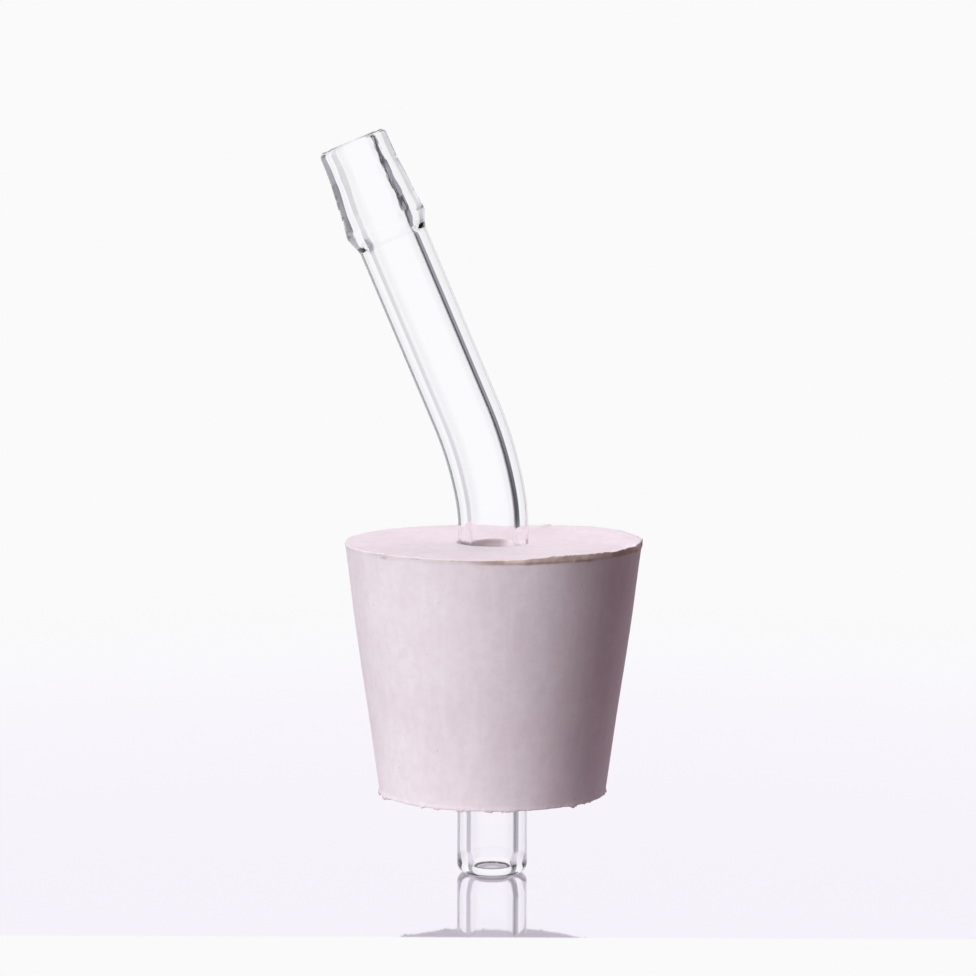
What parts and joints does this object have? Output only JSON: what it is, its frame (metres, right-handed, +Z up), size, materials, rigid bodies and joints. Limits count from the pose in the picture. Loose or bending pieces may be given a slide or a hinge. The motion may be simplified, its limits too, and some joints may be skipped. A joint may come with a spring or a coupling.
{
  "type": "rubber stopper with bent glass tube",
  "caption": "Tapered rubber stopper with a central hole, gripping a glass tube that bends above it and ends in a hose olive.",
  "frame": {"origin": "centre of the glass tube's foot, the ring that the part stands on", "axes": "+Z up the straight part of the tube and the stopper's axis; the bent part of the tube leans towards -X, in the XZ plane"},
  "size_m": [0.0377, 0.035, 0.087],
  "materials": {
    "stopper_rubber": "matt pinkish grey-white moulded rubber with faint mottling, and a thin tan, ragged flash edge at the large end",
    "clear_glass": "clear colourless borosilicate glass, fire-polished at the foot, hand-tooled at the olive"
  },
  "bodies": {
    "root": {"stopper": "stopper_rubber", "glass_tube": "clear_glass"}
  },
  "joints": []
}
